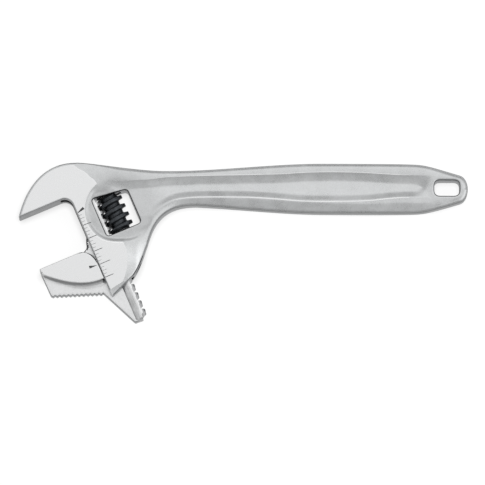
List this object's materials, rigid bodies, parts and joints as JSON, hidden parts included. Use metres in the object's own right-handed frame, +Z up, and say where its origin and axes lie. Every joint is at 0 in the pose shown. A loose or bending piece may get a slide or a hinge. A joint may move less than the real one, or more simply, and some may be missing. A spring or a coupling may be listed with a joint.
{
  "type": "adjustable wrench",
  "caption": "Wide-opening adjustable wrench: forged handle with fixed jaw, reversible sliding jaw on a rack, turned by a worm on a pin.",
  "frame": {"origin": "under the middle of the wrench's box at rest, on the surface that the wrench lies on", "axes": "+X along the handle towards the hang slot, +Y towards the fixed jaw's side, +Z up out of the flat of the wrench"},
  "size_m": [0.2002, 0.0717, 0.0124],
  "materials": {
    "satin_chrome": "satin chrome over a forging, with ground cheeks",
    "jaw_steel": "satin chrome, ground faces",
    "black_oxide": "black oxide",
    "pin_steel": "turned steel",
    "spring_steel": "drawn wire"
  },
  "bodies": {
    "frame": {"body": "satin_chrome", "worm_pin": "pin_steel", "worm_spring": "spring_steel"},
    "jaw": {"sliding_jaw": "jaw_steel"},
    "screw": {"worm": "black_oxide"}
  },
  "joints": [
    {"name": "jaw_slide", "type": "slide", "parent": "frame", "child": "jaw", "axis": [0.3947, -0.9188, 0], "range_m": [-0.0254, 0.0127]},
    {"name": "worm_spin", "type": "hinge", "parent": "frame", "child": "screw", "pos_m": [-0.05722, 0.01318, 0.0062], "axis": [0.3947, -0.9188, 0], "range_deg": [-1143, 2286]}
  ],
  "couplings": [
    {"joint": "worm_spin", "follows": "jaw_slide", "rad_per_m": -1570.8}
  ]
}
